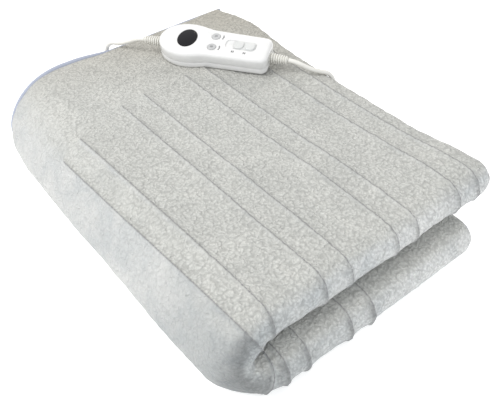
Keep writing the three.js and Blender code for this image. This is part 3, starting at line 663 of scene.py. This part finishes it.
# a flat-sided block over an outline, with its two rims rounded
def plateFrom(name, outline, low, high, bevel=0.0, segments=3):
    bpy.ops.object.select_all(action="DESELECT")
    bpy.ops.mesh.primitive_circle_add(vertices=len(outline), radius=1, fill_type="NGON")
    made = bpy.context.object
    made.name = name
    for vertex, (x, y) in zip(made.data.vertices, outline):
        vertex.co = (x, y, low)
    bpy.ops.object.mode_set(mode="EDIT")
    bpy.ops.mesh.select_all(action="SELECT")
    bpy.ops.mesh.extrude_region_move(TRANSFORM_OT_translate={"value": (0, 0, high - low)})
    bpy.ops.mesh.select_all(action="SELECT")
    bpy.ops.mesh.normals_make_consistent(inside=False)
    bpy.ops.object.mode_set(mode="OBJECT")
    if bevel:
        addBevel(made, bevel, segments, 1.0)
    return made


def addModifier(obj, kind, **settings):
    bpy.ops.object.select_all(action="DESELECT")
    bpy.context.view_layer.objects.active = obj
    obj.select_set(True)
    modifier = obj.modifiers.new(kind.lower(), kind)
    for key, value in settings.items():
        setattr(modifier, key, value)
    bpy.ops.object.modifier_apply(modifier=modifier.name)


def addBevel(obj, width, segments, angle):
    addModifier(obj, "BEVEL", width=width, segments=segments, limit_method="ANGLE", angle_limit=angle)


def combine(obj, tool, operation):
    addModifier(obj, "BOOLEAN", object=tool, operation=operation, solver="EXACT")
    bpy.data.objects.remove(tool)
    return obj


# puts a piece made in the controller's own frame in its place on the stack
def settle(obj, body, slot, *replaced, sharp=35):
    obj.data.transform(controllerFrame(controllerSizes) @ obj.matrix_world)
    obj.matrix_world = Matrix.Identity(4)
    return seat(obj, body, slot, *replaced, sharp=sharp)


def seat(obj, body, slot, *replaced, sharp=35):
    obj.data.shade_smooth()
    obj.data.set_sharp_from_angle(angle=math.radians(sharp))
    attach(obj, body)
    if replaced:
        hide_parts(*replaced)
    return obj


def addCase(c):
    top, wall, gap = c["height"], c["wall"], c["gap"]
    split = c["parting"]

    def shell(name):
        outer = plateFrom(name, caseOutline(c, 0), 0, top, c["round"], 7)
        inner = plateFrom("hollow", caseOutline(c, wall), wall, top - wall, c["round"] - wall, 4)
        combine(outer, inner, "DIFFERENCE")
        for side in (-1, 1):
            hole = plateFrom("hole", ovalOutline(c["cableHole"], c["cableHole"], steps=24), -0.006, 0.006)
            there = Matrix.Translation((side * c["half"], 0, c["reliefHigh"]))
            hole.data.transform(there @ Matrix.Rotation(math.pi / 2, 4, "Y"))
            combine(outer, hole, "DIFFERENCE")
        return outer

    wide = roundedOutline(0.3, 0.3, 0.01)
    lid = combine(shell("casing_lid"), plateFrom("below", wide, -0.05, split + gap), "DIFFERENCE")
    well = roundedOutline(c["slotLong"], c["slotWide"], 0.005, c["slotPlace"])
    pane = ovalOutline(c["windowLong"], c["windowWide"], c["headCentre"])
    openings = [
        plateFrom("opening", pane, top - wall - 0.001, top + 0.01),
        plateFrom("well", well, top - c["slotDeep"], top + 0.01)]
    ringRadius = c["buttonRadius"] + gap
    for side in (-1, 1):
        ring = ovalOutline(ringRadius, ringRadius, 0, side * c["buttonSpread"], 36)
        openings.append(plateFrom("opening", ring, top - wall - 0.001, top + 0.01))
    stem = roundedOutline(*c["stemSlot"], c["stemPlace"])
    openings.append(plateFrom("stem_slot", stem, top - wall - 0.001, top))
    for opening in openings:
        combine(lid, opening, "DIFFERENCE")
    tray = combine(shell("casing_tray"), plateFrom("above", wide, split, 0.05), "DIFFERENCE")
    for half, node in ((lid, "case_top"), (tray, "case_bottom")):
        addBevel(half, c["rimEdge"], 2, 0.9)
        settle(half, "blanket", "casing", node)
    return [lid, tray]


def addWindow(c):
    gap, top = c["gap"], c["height"]
    lens = ovalOutline(c["windowLong"] - gap, c["windowWide"] - gap, c["headCentre"])
    pane = plateFrom("display_pane", lens, top - c["wall"] - 0.0006, top + 0.0002, 0.0005, 3)
    return settle(pane, "blanket", "window", "display_window")


def addButton(c, name, side):
    top, radius = c["height"], c["buttonRadius"]
    y = side * c["buttonSpread"]
    cap = plateFrom(
        name + "_cap", ovalOutline(radius, radius, 0, y, 40), top - c["wall"] - 0.0008,
        top + c["buttonProud"], 0.0007, 4)
    dish, dishFloor = radius * c["dishShare"], top + c["buttonProud"] - c["dishDeep"]
    hollow = plateFrom("dish", ovalOutline(dish, dish, 0, y, 40), dishFloor, top + 0.004)
    combine(cap, hollow, "DIFFERENCE")
    settle(cap, name + "_button_body", "button", name + "_button")
    strokes = []
    for k in (-1, 0, 1):
        bar = roundedOutline(0.0006, 0.0026 if k else 0.0038, 0.00025, k * 0.0013, y, 3)
        strokes.append(plateFrom(name + "_mark", bar, top + 0.0004, top + 0.00074))
    return cap, joinPieces(strokes, name + "_button_body", "component")


def joined(pieces):
    bpy.ops.object.select_all(action="DESELECT")
    for piece in pieces:
        piece.select_set(True)
    bpy.context.view_layer.objects.active = pieces[0]
    bpy.ops.object.join()
    return pieces[0]


def joinPieces(pieces, body, slot):
    return settle(joined(pieces), body, slot)


def addKnob(c):
    floor = c["height"] - c["slotDeep"] + c["gap"]
    x = c["slotPlace"] + (c["slotLong"] - c["knobLong"]) / 2 - c["gap"]
    wide = c["slotWide"]
    plate = roundedOutline(c["knobLong"], wide - 2 * c["gap"], 0.005, x)
    base = plateFrom("slide_knob_cap", plate, floor, floor + 0.001)
    for side in (-1, 1):
        outline = roundedOutline(0.0118, wide - 0.0018, 0.0047, x + side * 0.007)
        hump = plateFrom("hump", outline, floor + 0.0004, floor + c["knobHigh"], 0.0011, 4)
        combine(base, hump, "UNION")
    switch = plateFrom("stem", roundedOutline(0.008, 0.0034, 0.0004, x), 0.0155, floor + 0.0006)
    combine(base, switch, "UNION")
    return settle(base, "slide_knob_body", "casing", "slide_knob")


def addPrintedMarks(c):
    top = c["height"]
    marks = []
    for side in (-1, 1):
        for k in range(3):
            tall, place = 0.0018 + 0.0004 * (k % 2), c["labelPlace"] + 0.0005 * (k % 2)
            y = side * c["buttonSpread"] + (k - 1) * c["labelPitch"]
            outline = roundedOutline(0.0017, tall, 0.0002, place, y, 2)
            marks.append(plateFrom("mark", outline, top - 0.0002, top + c["inkHigh"]))
    for x in (0.026, 0.0405):
        for k in range(2):
            outline = roundedOutline(0.0012, 0.0032, 0.0002, x + k * 0.0019, -0.0125, 2)
            marks.append(plateFrom("mark", outline, top - 0.0002, top + c["inkHigh"]))
    marks[0].name = "printed_marks"
    return joinPieces(marks, "blanket", "component")


# a tapered sleeve with ribs round it, running out of one end of the case
def addStrainRelief(c, side, node):
    steps, turns = 132, 24
    along = np.linspace(0, 1, steps)
    core = 0.0040 - 0.0009 * along
    rib = 0.0026 * (1 - 0.4 * along) * np.clip(0.35 + np.sin(along * 8 * 2 * math.pi) * 1.6, 0, 1) ** 0.8
    radius = core + np.where((along > 0.03) & (along < 0.97), rib, 0)
    start = c["half"] - 0.0006
    reach = start + along * (c["reliefLong"] + 0.0006)
    turn = np.arange(turns) * 2 * math.pi / turns
    points = [
        (side * x, r * math.cos(t), c["reliefHigh"] + r * math.sin(t))
        for x, r in zip(reach, radius) for t in turn]
    faces = [
        (i * turns + k, i * turns + (k + 1) % turns,
         (i + 1) * turns + (k + 1) % turns, (i + 1) * turns + k)
        for i in range(steps - 1) for k in range(turns)]
    faces += [tuple(range(turns))[::-1], tuple(range((steps - 1) * turns, steps * turns))]
    if side < 0:
        faces = [face[::-1] for face in faces]
    made = newObject("ribbed_" + node, points, faces)
    return settle(made, "blanket", "cord", node, sharp=60)


casePieces = addCase(controllerSizes)
windowPane = addWindow(controllerSizes)
buttonPieces = [addButton(controllerSizes, "heat", 1), addButton(controllerSizes, "timer", -1)]
knob = addKnob(controllerSizes)
printedMarks = addPrintedMarks(controllerSizes)
reliefs = [addStrainRelief(controllerSizes, -1, "mains_strain_relief"),
           addStrainRelief(controllerSizes, 1, "blanket_strain_relief")]
print("controller made")


patchSizes = dict(
    corner=0.003,
    edge=0.0007,
    inset=0.0018,
    stitches=10,
    pitch=0.0036,
    stitch=(0.0006, 0.0022, 0.0002),
    proud=0.0002,
)


def addPatch(p):
    low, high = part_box("connector_tab")
    middle, size = (low + high) / 2, high - low
    outline = roundedOutline(size.x, size.y, p["corner"], middle.x, middle.y)
    patch = plateFrom("connector_patch", outline, low.z, high.z, p["edge"], 3)
    dashes = []
    for side in (-1, 1):
        x = middle.x + side * (size.x / 2 - p["inset"])
        for k in range(p["stitches"]):
            y = middle.y + (k - (p["stitches"] - 1) / 2) * p["pitch"]
            dash = roundedOutline(*p["stitch"], x, y, 2)
            dashes.append(plateFrom("patch_thread", dash, high.z - p["proud"], high.z + p["proud"]))
    seat(patch, "blanket", "binding", "connector_tab")
    return patch, seat(joined(dashes), "blanket", "component")


# the same moulding with its flat faces merged and its edges rounded
def softenEdges(node, width):
    mesh = nodes[node].data.copy()
    made = bpy.data.objects.new("moulded_" + node, mesh)
    bpy.context.scene.collection.objects.link(made)
    merged = bmesh.new()
    merged.from_mesh(mesh)
    bmesh.ops.remove_doubles(merged, verts=merged.verts, dist=0.00001)
    bmesh.ops.dissolve_limit(merged, angle_limit=0.02, verts=merged.verts, edges=merged.edges)
    merged.to_mesh(mesh)
    merged.free()
    addBevel(made, width, 3, 0.7)
    return seat(made, "blanket", slotOf[node], node)


mouldingEdges = dict(
    mains_plug_body=0.0012, blanket_socket=0.0009, blanket_lead_plug=0.0009, hank_tie=0.0004)
slotOf = {s["node"]: s["material_slot"] for s in frame["record"]["subparts"]}
patch, patchThread = addPatch(patchSizes)
mouldings = [(node, softenEdges(node, width)) for node, width in mouldingEdges.items()]
print("patch and plugs made")


def newMaterial(name):
    material = bpy.data.materials.new(name)
    material.use_nodes = True
    tree = material.node_tree
    shader = tree.nodes["Principled BSDF"]
    return material, tree, shader


def addNoise(tree, scale, detail=3, rough=0.55):
    coords = tree.nodes.new("ShaderNodeTexCoord")
    noise = tree.nodes.new("ShaderNodeTexNoise")
    noise.inputs["Scale"].default_value = scale
    noise.inputs["Detail"].default_value = detail
    noise.inputs["Roughness"].default_value = rough
    tree.links.new(coords.outputs["Object"], noise.inputs["Vector"])
    return noise


def addRamp(tree, value, stops):
    ramp = tree.nodes.new("ShaderNodeValToRGB")
    for element, (place, colour) in zip(ramp.color_ramp.elements, (stops[0], stops[-1])):
        element.position, element.color = place, (*colour, 1)
    for place, colour in stops[1:-1]:
        ramp.color_ramp.elements.new(place).color = (*colour, 1)
    tree.links.new(value, ramp.inputs["Fac"])
    return ramp


def addBump(tree, shader, height, strength, distance, before=None):
    bump = tree.nodes.new("ShaderNodeBump")
    bump.inputs["Strength"].default_value = strength
    bump.inputs["Distance"].default_value = distance
    tree.links.new(height, bump.inputs["Height"])
    if before:
        tree.links.new(before.outputs["Normal"], bump.inputs["Normal"])
    tree.links.new(bump.outputs["Normal"], shader.inputs["Normal"])
    return bump


def addRange(tree, value, low, high, toLow=0.0, toHigh=1.0, smooth=False):
    spread = tree.nodes.new("ShaderNodeMapRange")
    if smooth:
        spread.interpolation_type = "SMOOTHSTEP"
    for name, number in (("From Min", low), ("From Max", high), ("To Min", toLow), ("To Max", toHigh)):
        spread.inputs[name].default_value = number
    tree.links.new(value, spread.inputs["Value"])
    return spread


def addMath(tree, operation, *values):
    node = tree.nodes.new("ShaderNodeMath")
    node.operation = operation
    for socket, value in zip(node.inputs, values):
        if isinstance(value, float):
            socket.default_value = value
        else:
            tree.links.new(value, socket)
    return node.outputs["Value"]


def addMix(tree, blend, share, under, over):
    mix = tree.nodes.new("ShaderNodeMix")
    mix.data_type = "RGBA"
    mix.blend_type = blend
    tree.links.new(share, mix.inputs["Factor"])
    tree.links.new(under, mix.inputs[6])
    if isinstance(over, tuple):
        mix.inputs[7].default_value = (*over, 1)
    else:
        tree.links.new(over, mix.inputs[7])
    return mix.outputs[2]


def fleeceMaterial():
    material, tree, shader = newMaterial("plush_fleece")
    link = tree.links.new
    patches = addNoise(tree, 24, 4, 0.6)
    patches.inputs["Distortion"].default_value = 0.8
    # random patches of tone in two copies: one for the top, and a lighter, cooler one for the steep sides
    # that is painted light and shade
    topTone = addRamp(tree, patches.outputs["Fac"], [
        (0.36, (0.545, 0.55, 0.527)), (0.52, (0.58, 0.585, 0.56)), (0.66, (0.605, 0.607, 0.58))])
    paintedSideTone = addRamp(tree, patches.outputs["Fac"], [
        (0.34, (0.54, 0.56, 0.565)), (0.50, (0.62, 0.63, 0.625)), (0.66, (0.67, 0.675, 0.665))])
    geometry = tree.nodes.new("ShaderNodeNewGeometry")
    split = tree.nodes.new("ShaderNodeSeparateXYZ")
    link(geometry.outputs["Normal"], split.inputs["Vector"])
    faceX, faceY, faceZ = (split.outputs[axis] for axis in "XYZ")
    # painted light and shade: the steep sides take the lighter, cooler copy of the cloth colour
    steep = addRange(tree, faceZ, 0.93, 0.6).outputs["Result"]
    cloth = addMix(tree, "MIX", steep, topTone.outputs["Color"], paintedSideTone.outputs["Color"])
    # painted shade and light by facing: faces turned left are darker, darkest where they turn round the
    # front corner, and front faces are lighter
    left = addRange(tree, faceX, -0.3, -0.85, 1.0, 0.84).outputs["Result"]
    front = addRange(tree, faceY, -0.3, -0.75).outputs["Result"]
    turning = addRange(tree, faceX, 0.0, -0.5).outputs["Result"]
    corner = addMath(tree, "MULTIPLY", front, turning)
    facingShade = addMath(tree, "MULTIPLY_ADD", corner, -0.5, left)
    facingShade = addMath(tree, "MULTIPLY_ADD", front, 0.1, facingShade)
    # painted shade: the cloth goes warmer and darker towards its back right corner, and cooler and darker
    # on its steep sides by its front left one
    coords = tree.nodes.new("ShaderNodeTexCoord")
    towards = tree.nodes.new("ShaderNodeVectorMath")
    towards.operation = "DOT_PRODUCT"
    towards.inputs[1].default_value = (0.6, 0.8, 0)
    link(coords.outputs["Object"], towards.inputs[0])
    warmShade = addRange(tree, towards.outputs["Value"], 0.04, 0.29, smooth=True).outputs["Result"]
    coolShade = addRange(tree, towards.outputs["Value"], -0.16, -0.30, smooth=True).outputs["Result"]
    cloth = addMix(tree, "MULTIPLY", warmShade, cloth, (0.80, 0.76, 0.70))
    cloth = addMix(tree, "MULTIPLY", addMath(tree, "MULTIPLY", coolShade, steep), cloth, (0.66, 0.68, 0.69))
    # tufts of pile, pushed about so that they don't stand in rows
    bend = addNoise(tree, 160, 2, 0.5)
    drift = tree.nodes.new("ShaderNodeVectorMath")
    drift.operation = "MULTIPLY_ADD"
    drift.inputs[1].default_value = (0.006, 0.006, 0.006)
    link(bend.outputs["Color"], drift.inputs[0])
    link(coords.outputs["Object"], drift.inputs[2])
    tufts = tree.nodes.new("ShaderNodeTexVoronoi")
    tufts.feature = "SMOOTH_F1"
    tufts.inputs["Scale"].default_value = 330
    tufts.inputs["Smoothness"].default_value = 0.35
    link(drift.outputs["Vector"], tufts.inputs["Vector"])
    between = addRange(tree, faceX, -0.25, -0.75, 0.72, 0.94)
    tone = addRange(tree, tufts.outputs["Distance"], 0.1, 0.75, 1.09)
    link(between.outputs["Result"], tone.inputs["To Max"])
    # the seams are darker, partly where the pile is sewn down and partly as painted shade in their
    # grooves
    seam = tree.nodes.new("ShaderNodeAttribute")
    seam.attribute_name = "seam"
    seamShade = addRange(tree, seam.outputs["Fac"], 0.0, 0.0013, 0.62, 1.0)
    depth = addMath(tree, "MULTIPLY", seamShade.outputs["Result"], tone.outputs["Result"])
    shade = tree.nodes.new("ShaderNodeVectorMath")
    shade.operation = "SCALE"
    link(cloth, shade.inputs[0])
    link(addMath(tree, "MULTIPLY", depth, facingShade), shade.inputs["Scale"])
    link(shade.outputs["Vector"], shader.inputs["Base Color"])
    shader.inputs["Roughness"].default_value = 0.95
    shader.inputs["Sheen Weight"].default_value = 0.12
    shader.inputs["Sheen Roughness"].default_value = 0.5
    fluff = addNoise(tree, 900, 2, 0.6)
    raised = addBump(tree, shader, tufts.outputs["Distance"], 1.0, -0.0016)
    addBump(tree, shader, fluff.outputs["Fac"], 0.8, 0.0012, raised)
    return material


def plainMaterial(name, colour, rough, metal=0.0, grain=900, bump=0.15, coat=0.0, mirror=0.5):
    material, tree, shader = newMaterial(name)
    tone = addNoise(tree, grain / 12, 3)
    dark = tuple(v * 0.93 for v in colour)
    ramp = addRamp(tree, tone.outputs["Fac"], [(0.3, dark), (0.7, colour)])
    tree.links.new(ramp.outputs["Color"], shader.inputs["Base Color"])
    shader.inputs["Roughness"].default_value = rough
    shader.inputs["Metallic"].default_value = metal
    shader.inputs["Coat Weight"].default_value = coat
    shader.inputs["Specular IOR Level"].default_value = mirror
    fine = addNoise(tree, grain, 2)
    addBump(tree, shader, fine.outputs["Fac"], bump, 0.0001)
    return material


materials = dict(
    fleece=fleeceMaterial(),
    felt=plainMaterial("needled_felt", (0.75, 0.73, 0.68), 0.95, grain=1500, bump=0.6),
    binding=plainMaterial("hem_tape", (0.37, 0.40, 0.49), 0.85, grain=2200, bump=0.5),
    heating_wire=plainMaterial("wire_insulation", (0.70, 0.60, 0.38), 0.5),
    casing=plainMaterial("white_casing", (0.77, 0.77, 0.768), 0.24, coat=0.25, bump=0.03),
    window=plainMaterial("display_glass", (0.006, 0.006, 0.008), 0.06, bump=0.0, mirror=0.3),
    button=plainMaterial("grey_button", (0.50, 0.505, 0.51), 0.4),
    cord=plainMaterial("white_cord", (0.77, 0.76, 0.72), 0.42),
    board=plainMaterial("solder_mask", (0.03, 0.18, 0.06), 0.4),
    component=plainMaterial("moulded_black", (0.03, 0.03, 0.035), 0.45),
    capacitor=plainMaterial("dipped_amber", (0.45, 0.24, 0.04), 0.4),
    tie=plainMaterial("black_tie", (0.03, 0.03, 0.032), 0.4),
    metal=plainMaterial("bright_metal", (0.62, 0.62, 0.63), 0.3, metal=1.0),
)
for name, node in nodes.items():
    node.data.materials.clear()
    node.data.materials.append(materials[slotOf[name]])
for node, made in mouldings:
    made.data.materials.clear()
    made.data.materials.append(materials[slotOf[node]])
greyThread = plainMaterial("grey_thread", (0.26, 0.26, 0.27), 0.8)
milkyKnob = plainMaterial("milky_knob", (0.64, 0.65, 0.645), 0.3, coat=0.2, bump=0.03)
printedGrey = plainMaterial("printed_grey", (0.12, 0.12, 0.125), 0.6)
caps, capMarks = zip(*buttonPieces)
dressed = [
    (materials["fleece"], [quilt]),
    (materials["binding"], [*bindings, patch]),
    (greyThread, [thread, patchThread]),
    (materials["casing"], casePieces),
    (milkyKnob, [knob]),
    (materials["window"], [windowPane]),
    (materials["button"], caps),
    (printedGrey, [printedMarks, *capMarks]),
    (materials["cord"], [*reliefs, mainsCord, blanketCord]),
]
for material, pieces in dressed:
    for piece in pieces:
        piece.data.materials.append(material)


def addStudio():
    bpy.ops.mesh.primitive_plane_add(size=8, location=(0, 0, -0.0005))
    floor = bpy.context.object
    floor.name = "floor"
    pale, _, shader = newMaterial("pale_floor")
    shader.inputs["Base Color"].default_value = (0.85, 0.85, 0.85, 1)
    shader.inputs["Roughness"].default_value = 0.9
    shader.inputs["Emission Color"].default_value = (1, 1, 1, 1)
    shader.inputs["Emission Strength"].default_value = 0.45
    floor.data.materials.append(pale)
    lights = [
        ("key", (-1.0, 0.5, 1.5), 1.2, 22, (1, 0.995, 0.98)),
        ("front", (-0.2, -1.5, 0.8), 1.6, 6, (0.88, 0.94, 1)),
        ("side", (1.4, 0.9, 0.9), 1.2, 5, (1, 0.92, 0.8)),
    ]
    for name, place, size, power, tint in lights:
        bpy.ops.object.light_add(type="AREA", location=place)
        light = bpy.context.object
        light.name = name
        light.data.size = size
        light.data.energy = power
        light.data.color = tint
        towards = Vector((0, 0, 0.04)) - Vector(place)
        light.rotation_euler = towards.to_track_quat("-Z", "Y").to_euler()
    world = bpy.data.worlds.new("studio")
    bpy.context.scene.world = world
    world.use_nodes = True
    background = world.node_tree.nodes["Background"]
    background.inputs["Color"].default_value = (1, 1, 1, 1)
    background.inputs["Strength"].default_value = 0.8
    bpy.context.scene.view_settings.view_transform = "Standard"


addStudio()
print("studio made")
